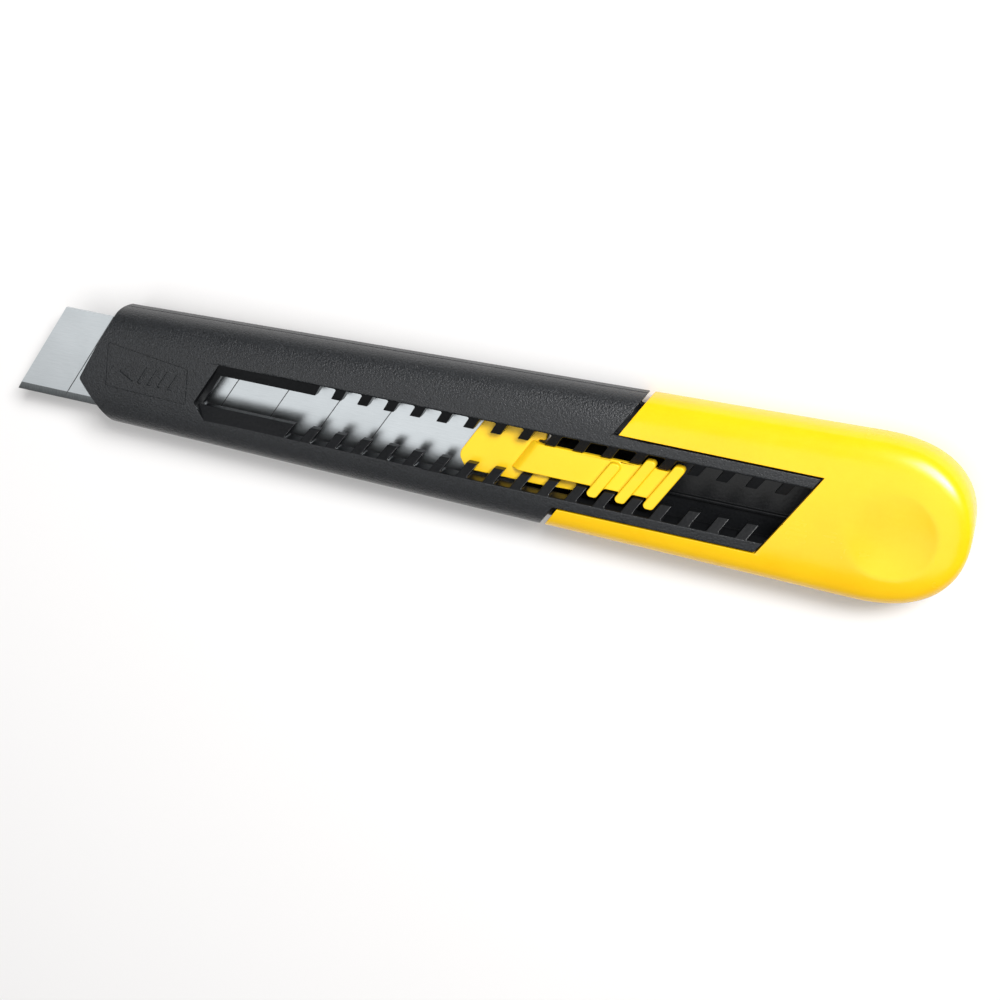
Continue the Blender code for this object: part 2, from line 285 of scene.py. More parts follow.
handleShape = {
    "Spine Half": 11.06, "Spine Growth": 0.0324, "Edge Half": 10.96, "Edge Growth": 0.0167, "Centre Half": 12.0,
    "Half Height": 5.983, "Middle Up": -1.4, "Section Power": 3.0, "Length": 162.38, "End Round": 17.0,
    "Plan Power": 2.4, "Side Power": 9.0, "Belly Cut": 0.333, "Seat Width At": 98.0,
    "Dimple Back": 149.7, "Dimple Side": 0.3, "Dimple Radius": 7.5, "Dimple Depth": 0.0, "Dimple Lean": 0.55,
    "Dimple Fade": 0.9,
}
loftFloats = ["Front", "Rear", "Crowd", "Inset"] + list(handleShape)


def buildLoftTree():
    tree, given, result = newGroup(
        "GeometryNodeTree", "rounded_handle",
        [("Origin", "Vector"), ("Rings", "Int"), ("Points", "Int"), ("Material", "Material")]
        + [(label, "Float") for label in loftFloats],
        [("Geometry", "Geometry")])

    def op(name, *values):
        return calc(tree, name, *values)

    spine = addNode(tree, "GeometryNodeCurvePrimitiveLine", Start=(0, 0, 0), End=(1, 0, 0))
    rows = addNode(tree, "GeometryNodeResampleCurve", Curve=spine.outputs[0], Count=given["Rings"])
    hoop = addNode(tree, "GeometryNodeCurvePrimitiveCircle", Resolution=given["Points"], Radius=1.0)
    tube = addNode(tree, "GeometryNodeCurveToMesh", Curve=rows.outputs[0])
    wire(tree, hoop.outputs[0], tube.inputs["Profile Curve"])
    wire(tree, True, tube.inputs["Fill Caps"])
    place = addNode(tree, "ShaderNodeSeparateXYZ", Vector=addNode(tree, "GeometryNodeInputPosition").outputs[0])
    share, across, over = place.outputs
    turn = op("ARCTAN2", over, across)
    side = op("SIGN", turn)
    u = op("SUBTRACT", 1.0, op("MULTIPLY", op("ABSOLUTE", turn), 2 / math.pi))
    away = op("ABSOLUTE", u)
    # back from the nose, crowded towards the rear
    rest = op("POWER", op("MAXIMUM", op("SUBTRACT", 1.0, share), 0.0), given["Crowd"])
    back = op("SUBTRACT", given["Rear"], op("MULTIPLY", op("SUBTRACT", given["Rear"], given["Front"]), rest))
    # the rear rounding
    tailStart = op("SUBTRACT", given["Length"], given["End Round"])
    run = op("DIVIDE", op("SUBTRACT", back, tailStart), op("SUBTRACT", given["End Round"], given["Inset"]))
    run = op("MINIMUM", op("MAXIMUM", run, 0.0), 1.0)

    def fallOff(power):
        return op("POWER", op("MAXIMUM", op("SUBTRACT", 1.0, op("POWER", run, power)), 0.0), op("DIVIDE", 1.0, power))

    plan, rise = fallOff(given["Plan Power"]), fallOff(given["Side Power"])
    inset = op("GREATER_THAN", given["Inset"], 0.001)  # a seat or a socket keeps one width, so the cap slides off
    straight = op("ADD", op("MULTIPLY", op("MINIMUM", back, tailStart), op("SUBTRACT", 1.0, inset)),
                  op("MULTIPLY", given["Seat Width At"], inset))

    def halfWidth(start, growth):
        return op("SUBTRACT", op("ADD", start, op("MULTIPLY", growth, straight)), given["Inset"])

    spineHalf = halfWidth(given["Spine Half"], given["Spine Growth"])
    edgeHalf = halfWidth(given["Edge Half"], given["Edge Growth"])
    toSpine = op("GREATER_THAN", u, 0.0)
    half = op("ADD", op("MULTIPLY", spineHalf, toSpine), op("MULTIPLY", edgeHalf, op("SUBTRACT", 1.0, toSpine)))
    # lines near the middle stay parallel to the slot; only the outer ones follow the taper
    centre = op("SUBTRACT", given["Centre Half"], given["Inset"])
    blend = addNode(tree, "ShaderNodeMapRange", {"interpolation_type": "SMOOTHSTEP"}, Value=away, From_Min=0.5,
                    From_Max=1.0)
    out = op("ADD", op("MULTIPLY", op("SINE", op("MULTIPLY", away, math.pi / 2)), centre),
             op("MULTIPLY", op("SUBTRACT", half, centre), blend.outputs[0]))
    ratio = op("MINIMUM", op("DIVIDE", out, half), 1.0)
    up = op("POWER", op("MAXIMUM", op("SUBTRACT", 1.0, op("POWER", ratio, given["Section Power"])), 0.0),
            op("DIVIDE", 1.0, given["Section Power"]))
    height = op("SUBTRACT", given["Half Height"], given["Inset"])
    up = op("MULTIPLY", op("MULTIPLY", op("MULTIPLY", up, height), rise), side)
    up = op("ADD", op("MAXIMUM", up, op("SUBTRACT", given["Belly Cut"], height)), given["Middle Up"])
    middle = op("MULTIPLY", op("SUBTRACT", spineHalf, edgeHalf), 0.5)
    out = op("MULTIPLY", out, op("SIGN", u))
    out = op("ADD", middle, op("MULTIPLY", op("SUBTRACT", out, middle), plan))
    # thumb dimple on the upper side
    far = op("SQRT", op("ADD", op("POWER", op("ABSOLUTE", op("SUBTRACT", back, given["Dimple Back"])), 2.0),
                        op("POWER", op("ABSOLUTE", op("SUBTRACT", out, given["Dimple Side"])), 2.0)))
    press = op("MAXIMUM", op("SUBTRACT", 1.0, op("POWER", op("DIVIDE", far, given["Dimple Radius"]), 2.0)), 0.0)
    lean = op("SUBTRACT", op("SUBTRACT", back, given["Dimple Back"]), op("SUBTRACT", out, given["Dimple Side"]))
    lean = op("MULTIPLY", op("DIVIDE", lean, given["Dimple Radius"]), given["Dimple Lean"])  # deeper to the rear
    press = op("MULTIPLY", op("POWER", press, given["Dimple Fade"]), op("MAXIMUM", op("ADD", lean, 1.0), 0.0))
    press = op("MULTIPLY", op("MULTIPLY", press, given["Dimple Depth"]), op("MAXIMUM", side, 0.0))
    up = op("SUBTRACT", up, press)
    point = addNode(tree, "ShaderNodeCombineXYZ", X=op("MULTIPLY", back, -mm), Y=op("MULTIPLY", out, -mm),
                    Z=op("MULTIPLY", up, mm))
    moved = addNode(tree, "ShaderNodeVectorMath", {"operation": "ADD"})
    wire(tree, point.outputs[0], moved.inputs[0])
    wire(tree, given["Origin"], moved.inputs[1])
    shaped = addNode(tree, "GeometryNodeSetPosition", Geometry=tube.outputs[0], Position=moved.outputs[0])
    welded = addNode(tree, "GeometryNodeMergeByDistance", Geometry=shaped.outputs[0], Distance=2 * weldGap * mm)
    real = addNode(tree, "GeometryNodeRealizeInstances", Geometry=welded.outputs[0])
    painted = addNode(tree, "GeometryNodeSetMaterial", Geometry=real.outputs[0], Material=given["Material"])
    wire(tree, painted.outputs[0], result[0])
    return tree


# slanted bars in a row: notches, snap lines, thumb ribs

def buildBarTree():
    tree, given, result = newGroup(
        "GeometryNodeTree", "slanted_bars",
        [("First", "Vector"), ("Count", "Int"), ("Pitch", "Float"), ("Wide", "Float"), ("Across", "Float"),
         ("Lean", "Float"), ("Corner", "Float"), ("Corner Steps", "Int"), ("Tall", "Float"),
         ("Material", "Material")],
        [("Geometry", "Geometry")])
    shape = addNode(tree, "GeometryNodeCurvePrimitiveQuadrilateral", {"mode": "PARALLELOGRAM"}, Width=given["Wide"],
                    Height=given["Across"], Offset=calc(tree, "MULTIPLY", given["Across"], given["Lean"]))
    filleted = addNode(tree, "GeometryNodeFilletCurve", {"mode": "POLY"}, Curve=shape.outputs[0],
                       Count=given["Corner Steps"], Radius=given["Corner"])
    base = addNode(tree, "GeometryNodeFillCurve", {"mode": "NGONS"}, Curve=filleted.outputs[0])
    lift = addNode(tree, "ShaderNodeCombineXYZ", Z=given["Tall"])
    top = addNode(tree, "GeometryNodeExtrudeMesh", Mesh=base.outputs[0], Offset=lift.outputs[0], Offset_Scale=1.0,
                  Individual=False)
    under = addNode(tree, "GeometryNodeFlipFaces", Mesh=base.outputs[0])
    both = addNode(tree, "GeometryNodeJoinGeometry")
    tree.links.new(top.outputs[0], both.inputs[0])
    tree.links.new(under.outputs[0], both.inputs[0])
    block = addNode(tree, "GeometryNodeMergeByDistance", Geometry=both.outputs[0], Distance=weldGap * mm)
    step = addNode(tree, "ShaderNodeCombineXYZ", X=calc(tree, "MULTIPLY", given["Pitch"], -1.0))
    row = addNode(tree, "GeometryNodeMeshLine", {"mode": "OFFSET"}, Count=given["Count"], Offset=step.outputs[0])
    wire(tree, given["First"], row.inputs["Start Location"])
    placed = addNode(tree, "GeometryNodeInstanceOnPoints", Points=row.outputs[0], Instance=block.outputs[0])
    real = addNode(tree, "GeometryNodeRealizeInstances", Geometry=placed.outputs[0])
    painted = addNode(tree, "GeometryNodeSetMaterial", Geometry=real.outputs[0], Material=given["Material"])
    wire(tree, painted.outputs[0], result[0])
    return tree


loftTree = buildLoftTree()
barTree = buildBarTree()


def handleForm(name, inset, front, rear, rings, points, material, crowd=1.0, dimple=0.0):
    # a length of the handle, or of a hollow that lies inset from its skin; crowd packs the rings towards the rear
    values = {"Front": front, "Rear": rear, "Crowd": crowd, "Inset": inset, **handleShape, "Dimple Depth": dimple}
    values = {label: float(value) for label, value in values.items()}
    values.update({"Origin": datum, "Rings": rings, "Points": points, "Material": material})
    return grow(name, loftTree, values)


def barRow(name, first, count, pitch, wide, low, high, bottom, top, material, corner=0.0, steps=4):
    # first is where the front bar's front line crosses the centre line; low and high are its ends' spine distances
    middle = (low + high) / 2
    return grow(name, barTree, {
        "First": at(first + wide / 2 + slant * middle, middle, bottom), "Count": count, "Pitch": pitch * mm,
        "Wide": wide * mm, "Across": (high - low) * mm, "Lean": slant, "Corner": corner * mm, "Corner Steps": steps,
        "Tall": (top - bottom) * mm, "Material": material})


print("trees built")


# finishes

# sheenSpeckFrom and sheenSpeckTo bound the flecks of painted sheen
grainMix = {"noise": 0.6, "cells": 0.4, "cellTimes": 0.8, "fineTimes": 3.1, "toneScale": 90.0,
            "sheenSpeckFrom": 0.4, "sheenSpeckTo": 0.6}


def buildGrainGroup():  # moulded spark texture, whose specks also place a painted sheen
    tree, given, result = newGroup("ShaderNodeTree", "moulded_grain", [("Size", "Float"), ("Fine Share", "Float")],
                                   [("Height", "Float"), ("Tone", "Float"), ("Sheen Speck", "Float")])
    place = addNode(tree, "ShaderNodeTexCoord").outputs["Object"]
    often = calc(tree, "DIVIDE", 1.0, given["Size"])
    coarse = addNode(tree, "ShaderNodeTexNoise", Vector=place, Scale=often, Detail=2.0, Roughness=0.55)
    cells = addNode(tree, "ShaderNodeTexVoronoi", {"feature": "SMOOTH_F1"}, Vector=place,
                    Scale=calc(tree, "MULTIPLY", often, grainMix["cellTimes"]), Smoothness=0.6)
    fine = addNode(tree, "ShaderNodeTexNoise", Vector=place,
                   Scale=calc(tree, "MULTIPLY", often, grainMix["fineTimes"]), Detail=2.0, Roughness=0.6)
    body = calc(tree, "ADD", calc(tree, "MULTIPLY", coarse.outputs[0], grainMix["noise"]),
                calc(tree, "MULTIPLY", cells.outputs["Distance"], grainMix["cells"]))
    height = calc(tree, "ADD", body, calc(tree, "MULTIPLY", fine.outputs[0], given["Fine Share"]))
    cloud = addNode(tree, "ShaderNodeTexNoise", Vector=place, Scale=grainMix["toneScale"], Detail=3.0, Roughness=0.5)
    grit = calc(tree, "MULTIPLY", calc(tree, "ADD", coarse.outputs[0], fine.outputs[0]), 0.5)
    # speck mask: the flecks where a lighter colour paints the grain's sheen
    sheenSpeck = addNode(tree, "ShaderNodeMapRange", Value=grit, From_Min=grainMix["sheenSpeckFrom"],
                    From_Max=grainMix["sheenSpeckTo"])
    wire(tree, sheenSpeck.outputs[0], result["Sheen Speck"])
    wire(tree, height, result["Height"])
    wire(tree, cloud.outputs[0], result["Tone"])
    return tree


rubMarks = {"stretch": (0.06, 1.0, 1.0), "turn": (0.0, 0.0, 0.12), "from": 0.5, "to": 0.8, "cloudScale": 120.0}


def buildHandlingGroup():  # faint rubs along the knife and cloudy smudges
    tree, given, result = newGroup("ShaderNodeTree", "handling", [("Rub Scale", "Float"), ("Sharpness", "Float")],
                                   [("Rubs", "Float"), ("Smudges", "Float")])
    place = addNode(tree, "ShaderNodeTexCoord").outputs["Object"]
    pulled = addNode(tree, "ShaderNodeMapping", Vector=place, Scale=rubMarks["stretch"], Rotation=rubMarks["turn"])
    lines = addNode(tree, "ShaderNodeTexNoise", Vector=pulled.outputs[0], Scale=given["Rub Scale"], Detail=4.0,
                    Roughness=0.65)
    edge = addNode(tree, "ShaderNodeMapRange", Value=lines.outputs[0], From_Min=rubMarks["from"],
                   From_Max=rubMarks["to"])
    shaped = calc(tree, "POWER", edge.outputs[0], given["Sharpness"])
    cloud = addNode(tree, "ShaderNodeTexNoise", Vector=place, Scale=rubMarks["cloudScale"], Detail=4.0, Roughness=0.6)
    wire(tree, shaped, result["Rubs"])
    wire(tree, cloud.outputs[0], result["Smudges"])
    return tree


grainGroup = buildGrainGroup()
handlingGroup = buildHandlingGroup()


def useGroup(tree, group, **inputs):
    node = tree.nodes.new("ShaderNodeGroup")
    node.node_tree = group
    for key, value in inputs.items():
        wire(tree, value, node.inputs[key.replace("_", " ")])
    return node


def mixColor(tree, share, first, second):
    node = tree.nodes.new("ShaderNodeMix")
    node.data_type = "RGBA"
    wire(tree, share, node.inputs[0])
    wire(tree, first, node.inputs[6])
    wire(tree, second, node.inputs[7])
    return node.outputs[2]


noiseRange = (0.3, 0.7)  # where a noise's values mostly lie


def spread(tree, value, low, high):  # stretches a noise over low to high
    ranged = addNode(tree, "ShaderNodeMapRange", Value=value, From_Min=noiseRange[0], From_Max=noiseRange[1],
                     To_Min=low, To_Max=high)
    return ranged.outputs[0]


def newMaterial(name):
    material = bpy.data.materials.new(name)
    material.use_nodes = True
    return material, material.node_tree, material.node_tree.nodes["Principled BSDF"]


def plastic(name, look):
    material, tree, shader = newMaterial(name)
    grain = useGroup(tree, grainGroup, Size=look["grainSize"] * mm, Fine_Share=look["fineShare"])
    rubs = useGroup(tree, handlingGroup, Rub_Scale=look["rubScale"], Sharpness=1.5)
    tone = mixColor(tree, spread(tree, grain.outputs["Tone"], 0.0, 1.0), (*look["dark"], 1), (*look["light"], 1))
    # painted sheen: lighter flecks mixed into the colour in place of the grain's glints
    sheenSpecked = mixColor(tree, calc(tree, "MULTIPLY", grain.outputs["Sheen Speck"], look["sheenSpeckShow"]), tone,
                       (*look["sheenSpeck"], 1))
    worn = mixColor(tree, calc(tree, "MULTIPLY", rubs.outputs["Rubs"], look["rubShow"]), sheenSpecked,
                    (*look["rubbed"], 1))
    wire(tree, worn, shader.inputs["Base Color"])
    rough = spread(tree, rubs.outputs["Smudges"], *look["rough"])
    rough = calc(tree, "SUBTRACT", rough, calc(tree, "MULTIPLY", rubs.outputs["Rubs"], look["rubGloss"]))
    wire(tree, rough, shader.inputs["Roughness"])
    shader.inputs["Specular IOR Level"].default_value = look["gloss"]
    bump = addNode(tree, "ShaderNodeBump", Height=grain.outputs["Height"], Strength=look["bump"],
                   Distance=look["bumpDeep"] * mm)
    wire(tree, bump.outputs[0], shader.inputs["Normal"])
    return material


# in each finish, speck is a painted sheen: a lighter fleck colour laid into the base colour where the grain would
# glint
grainedBlack = plastic("casing_grained_black", {
    "dark": (0.0020, 0.0025, 0.0032), "light": (0.0036, 0.0043, 0.0054),
    "sheenSpeck": (0.021, 0.024, 0.028), "sheenSpeckShow": 0.75,
    "rubbed": (0.05, 0.052, 0.056), "rubShow": 0.06, "rubScale": 1500.0, "rubGloss": 0.03,
    "rough": (0.33, 0.38), "gloss": 0.58,
    "grainSize": 0.30, "fineShare": 0.35, "bump": 1.0, "bumpDeep": 0.125})
smoothBlack = plastic("casing_smooth_black", {
    "dark": (0.004, 0.0045, 0.0052), "light": (0.007, 0.0075, 0.0085),
    "sheenSpeck": (0.02, 0.021, 0.023), "sheenSpeckShow": 0.25,
    "rubbed": (0.04, 0.04, 0.042), "rubShow": 0.15, "rubScale": 2400.0, "rubGloss": 0.05,
    "rough": (0.28, 0.36), "gloss": 0.32,
    "grainSize": 0.5, "fineShare": 0.3, "bump": 0.5, "bumpDeep": 0.05})
capYellow = plastic("cap_yellow", {
    "dark": (0.95, 0.535, 0.002), "light": (0.98, 0.585, 0.004),
    "sheenSpeck": (0.96, 0.66, 0.02), "sheenSpeckShow": 0.12,
    "rubbed": (0.97, 0.66, 0.04), "rubShow": 0.10, "rubScale": 1300.0, "rubGloss": 0.04,
    "rough": (0.22, 0.28), "gloss": 0.5,
    "grainSize": 1.1, "fineShare": 0.15, "bump": 0.12, "bumpDeep": 0.02})
sliderYellow = plastic("slider_yellow", {
    "dark": (0.95, 0.585, 0.010), "light": (0.98, 0.635, 0.016),
    "sheenSpeck": (0.98, 0.68, 0.03), "sheenSpeckShow": 0.12,
    "rubbed": (0.97, 0.66, 0.04), "rubShow": 0.12, "rubScale": 1800.0, "rubGloss": 0.05,
    "rough": (0.34, 0.42), "gloss": 0.4,
    "grainSize": 0.8, "fineShare": 0.2, "bump": 0.15, "bumpDeep": 0.02})


def steel(name, look):
    material, tree, shader = newMaterial(name)
    place = addNode(tree, "ShaderNodeTexCoord").outputs["Object"]
    pulled = addNode(tree, "ShaderNodeMapping", Vector=place, Scale=look["stretch"])
    brushed = addNode(tree, "ShaderNodeTexNoise", Vector=pulled.outputs[0], Scale=look["brush"], Detail=5.0,
                      Roughness=0.7)
    smudges = useGroup(tree, handlingGroup).outputs["Smudges"]
    tone = mixColor(tree, spread(tree, brushed.outputs[0], 0.0, 1.0), (*look["dark"], 1), (*look["light"], 1))
    wire(tree, tone, shader.inputs["Base Color"])
    rough = calc(tree, "ADD", spread(tree, brushed.outputs[0], *look["rough"]),
                 spread(tree, smudges, -look["smudge"], look["smudge"]))
    wire(tree, rough, shader.inputs["Roughness"])
    shader.inputs["Metallic"].default_value = 1.0
    bump = addNode(tree, "ShaderNodeBump", Height=brushed.outputs[0], Strength=look["bump"],
                   Distance=look["bumpDeep"] * mm)
    wire(tree, bump.outputs[0], shader.inputs["Normal"])
    return material


groundSteel = steel("blade_ground_steel", {
    "dark": (0.51, 0.545, 0.565), "light": (0.60, 0.635, 0.655), "rough": (0.30, 0.38), "smudge": 0.03,
    "stretch": (0.06, 1.0, 1.0), "brush": 7000.0, "bump": 0.35, "bumpDeep": 0.004})
honedSteel = steel("blade_honed_bevel", {
    "dark": (0.12, 0.132, 0.136), "light": (0.205, 0.22, 0.225), "rough": (0.30, 0.42), "smudge": 0.03,
    "stretch": (1.0, 0.1, 0.1), "brush": 9000.0, "bump": 0.4, "bumpDeep": 0.004})
scoreSteel = steel("blade_score_line", {
    "dark": (0.12, 0.125, 0.13), "light": (0.2, 0.205, 0.21), "rough": (0.45, 0.6), "smudge": 0.03,
    "stretch": (1.0, 0.1, 0.1), "brush": 5000.0, "bump": 0.3, "bumpDeep": 0.004})
print("finishes made")


# casing

casing = {
    "front": -8.5, "rear": 141.5, "rings": 16, "points": 96,
    "parting": -1.2, "partingGap": 0.05, "edge": 0.13, "edgeSteps": 2, "smooth": 35,
    "noseTip": -2.6, "noseSlope": 0.5, "tipSlope": 0.72, "noseSpine": 8.6, "noseEdge": 10.8,
    "noseLower": (9.5, -13.2), "noseUpper": (6.3, 11.75), "flareLower": 60, "flareUpper": 30,
    "noseRadii": [6.0, 0.8, 4.0, 0, 0, 0, 0, 0, 1.6], "noseSteps": 8,
    "shoulder": 97.2, "capFront": 98.1, "capWall": 1.5, "gap": 0.3, "windowHalf": 7.85, "windowRear": 133.0,
    "coreFront": 60, "corePast": 5, "coreRings": 10, "islandAhead": 5,
    "channelHalf": 9.3, "channelTop": 1.5, "channelLow": -8, "channelRear": 170,
    "mouthTop": 0.35, "mouthFront": -20, "mouthLong": 20.0,
}
rack = {
    "front": 45.0, "pitch": 5.0, "notch": 3.06, "count": 18, "rootHalf": 5.56, "rootCorner": 0.25,
    "slotFront": 26.4, "slotHalf": 3.1, "slotRear": 138.0, "slotLow": -1,
    "sinkFront": 25.2, "sinkHalf": 5.9, "sinkPastWindow": 4, "sinkRear": 160, "sinkRadii": [0.5, 0.4, 0.4, 0, 0],
    "trimTop": 25, "tipTop": 3.03, "rise": 0.549,
}
panel = {
    "outline": [(6.0, 5.5), (22.3, 3.5), (22.1, -3.2), (5.7, -2.8)], "corner": 0.5, "groove": 0.2, "deep": 0.12,
    "step": 1.5, "front": 4.5, "rear": 23.5, "low": 4.2,
    "markUp": 4.36, "middle": 0.55, "arrow": (8.3, 11.3, 1.7), "arrowCorner": 0.2,
    "strokes": 4, "strokeFirst": 12.6, "strokePitch": 2.1, "strokeWide": 0.8, "strokeCorner": 0.15,
}


def crown(back, spine):  # height of the handle's upper face
    half = handleShape["Spine Half"] + handleShape["Spine Growth"] * back
    power = handleShape["Section Power"]
    return handleShape["Middle Up"] + handleShape["Half Height"] * (1 - (abs(spine) / half) ** power) ** (1 / power)


def grooveRing(name, outline, material):  # a thin closed groove that follows the upper face
    points = []
    for index, point in enumerate(outline):
        start, end = Vector(point), Vector(outline[(index + 1) % len(outline)])
        count = max(1, round((end - start).length / panel["step"]))
        points += [start.lerp(end, step / count) for step in range(count)]
    bm = bmesh.new()
    rows = []
    for index, point in enumerate(points):
        along = (points[(index + 1) % len(points)] - points[index - 1]).normalized()
        out = Vector((along.y, -along.x)) * panel["groove"] / 2
        inner, outer = point - out, point + out
        rows.append([bm.verts.new(at(side.x, side.y, up)) for side, up in [
            (inner, crown(*inner) - panel["deep"]), (outer, crown(*outer) - panel["deep"]),
            (outer, past["crown"]), (inner, past["crown"])]])
    for index, row in enumerate(rows):
        after = rows[(index + 1) % len(rows)]
        for edge in range(4):
            bm.faces.new([row[edge], row[(edge + 1) % 4], after[(edge + 1) % 4], after[edge]])
    return solidFrom(name, bm, material)


def markForm(material):  # a plain mark: an arrow towards the nose and a row of snap strokes
    tip, base, half = panel["arrow"]
    low, high = panel["middle"] - half, panel["middle"] + half
    outline = roundCorners([(tip, panel["middle"]), (base, low), (base, high)], panel["arrowCorner"])
    mark = prism("arrow", outline, panel["markUp"], past["crown"], material)
    for index in range(panel["strokes"]):
        front = panel["strokeFirst"] + index * panel["strokePitch"]
        outline = roundCorners(band(front, front + panel["strokeWide"], low, high), panel["strokeCorner"])
        combine(mark, prism("stroke", outline, panel["markUp"], past["crown"], material), "UNION")
    return settle(mark)


def casingForm(name):  # full size ahead of the cap and inside its window, pulled in under it
    form = handleForm(name, 0.0, casing["front"], casing["rear"], casing["rings"], casing["points"], grainedBlack)
    tip, spine, edge, side = casing["noseTip"], casing["noseSpine"], casing["noseEdge"], past["bandSide"]
    outline = [(casing["noseSlope"] * (spine - tip), spine), (0.0, tip), (casing["tipSlope"] * (tip + edge), -edge),
               casing["noseLower"], (casing["flareLower"], -side), (past["rear"], -side), (past["rear"], side),
               (casing["flareUpper"], side), casing["noseUpper"]]
    outline = roundCorners(outline, casing["noseRadii"], casing["noseSteps"])
    combine(form, prism(name + "_nose", outline, past["low"], past["high"], grainedBlack), "INTERSECT")
    ring = prism(name + "_ring", band(casing["shoulder"], past["bandRear"], -side, side), past["low"], past["high"],
                 smoothBlack)
    core = handleForm(name + "_core", casing["capWall"] + casing["gap"], casing["coreFront"],
                      casing["rear"] + casing["corePast"], casing["coreRings"], casing["points"], smoothBlack)
    combine(ring, core)
    half = casing["windowHalf"] - casing["gap"]
    outline = band(casing["capFront"] - casing["islandAhead"], casing["windowRear"] - casing["gap"], -half, half)
    combine(ring, prism(name + "_island", outline, 0, past["crown"], smoothBlack))
    combine(form, settle(ring))
    return form


def keepSide(form, low, high):  # keeps the shell on one side of the parting line
    outline = rectangle(past["front"], past["rear"], -past["side"], past["side"])
    combine(form, prism("kept_side", outline, low, high, grainedBlack), "INTERSECT")


def sunkLedges():  # the hollow that the rack's teeth stand in
    half, slotHalf = rack["sinkHalf"], rack["slotHalf"]
    high = rack["tipTop"] + rack["rise"] * (half - slotHalf)
    sink = runBack("sink", [(-half, high), (-slotHalf, rack["tipTop"]), (slotHalf, rack["tipTop"]), (half, high),
                            (half, past["high"]), (-half, past["high"])], 0, rack["sinkRear"], smoothBlack)
    outline = pointed(rack["sinkFront"], half, casing["windowRear"] + rack["sinkPastWindow"], casing["noseTip"],
                      casing["tipSlope"])
    outline = roundCorners(outline, rack["sinkRadii"])
    combine(sink, prism("sink_trim", outline, 0, rack["trimTop"], smoothBlack), "INTERSECT")
    return settle(sink)


def buildFrontCasing():
    form = casingForm("front_casing_shell")
    keepSide(form, casing["parting"] + casing["partingGap"], past["high"])
    half, low = casing["channelHalf"], casing["channelLow"]
    combine(form, runBack("channel", rectangle(-half, half, low, casing["channelTop"]), casing["mouthLong"],
                          casing["channelRear"], smoothBlack))
    combine(form, runBack("mouth", rectangle(-half, half, low, casing["mouthTop"]), casing["mouthFront"],
                          casing["mouthLong"] + 1, smoothBlack))
    combine(form, sunkLedges())
    slot = pointed(rack["slotFront"], rack["slotHalf"], rack["slotRear"], casing["noseTip"], casing["tipSlope"])
    combine(form, prism("slot", slot, rack["slotLow"], past["high"], smoothBlack))
    root = rack["rootHalf"]
    combine(form, barRow("notches", rack["front"], rack["count"] - 1, rack["pitch"], rack["notch"], -root, root, 0,
                         past["high"], smoothBlack, rack["rootCorner"]))
    last = rack["front"] + rack["pitch"] * (rack["count"] - 1)  # this one runs on under the window's rear edge
    outline = band(last, casing["windowRear"] + rack["sinkPastWindow"], -root, root)
    combine(form, prism("last_notch", outline, 0, past["high"], smoothBlack))
    combine(form, grooveRing("panel", roundCorners(panel["outline"], panel["corner"]), grainedBlack))
    combine(form, markForm(grainedBlack))
    settle(form)
    markSharp(form.data, panel["front"], panel["rear"], panel["low"])  # the panel's fine lines stay crisp
    soften(form, casing["edge"], casing["edgeSteps"], marked=True)
    return settle(form, casing["smooth"])


inside = {
    "floor": -4.6, "tray": (11, 160), "trayHalf": 7.6, "trayRadii": [1.0, 0, 0, 1.0], "trayTop": 5,
    "railInner": 6.9, "railOuter": 9.0, "railLow": -3.0, "railTop": -0.8, "railFront": 6.5, "railShort": 0.4,
    "sill": (7.8, 12.0), "sillHalf": 8.8, "sillUnder": 0.1, "sillDrop": 0.02,
    "rib": (60, 140), "ribSide": (-3.6, -3.1), "ribCorner": 0.2, "ribUnder": 0.3, "ribTall": 0.8,
}


def buildBackCasing():
    form = casingForm("back_casing_shell")
    keepSide(form, past["low"], casing["parting"] - casing["partingGap"])
    low, high = inside["railLow"], inside["railTop"]
    for side in (-1, 1):
        section = rectangle(*sorted((side * inside["railInner"], side * inside["railOuter"])), low, high)
        rail = runBack("rail", section, inside["railFront"], casing["rear"] - inside["railShort"], smoothBlack)
        combine(form, rail, "UNION")
    sill = rectangle(*inside["sill"], -inside["sillHalf"], inside["sillHalf"])
    combine(form, prism("sill", sill, low - inside["sillUnder"], high - inside["sillDrop"], smoothBlack), "UNION")
    tray = roundCorners(rectangle(*inside["tray"], -inside["trayHalf"], inside["trayHalf"]), inside["trayRadii"])
    combine(form, prism("tray", tray, inside["floor"], inside["trayTop"], smoothBlack))
    rib = roundCorners(rectangle(*inside["rib"], *inside["ribSide"]), inside["ribCorner"])
    combine(form, prism("floor_rib", rib, inside["floor"] - inside["ribUnder"], inside["floor"] + inside["ribTall"],
                        smoothBlack), "UNION")
    soften(form, casing["edge"], casing["edgeSteps"])
    return settle(form, casing["smooth"])


frontShell = buildFrontCasing()
backShell = buildBackCasing()
print("casing built")


# rear cap

cap = {"front": 80, "rings": 80, "points": 112, "crowd": 2.2, "edge": 0.12, "edgeSteps": 2, "smooth": 35,
       "dimpleDeep": 1.0, "socketFront": 60, "socketRear": 142.0, "socketRings": 60, "socketPoints": 96,
       "socketCrowd": 1.8, "pocketRear": 158.0, "pocketTop": 1.2, "windowAhead": 10, "windowLow": 1}


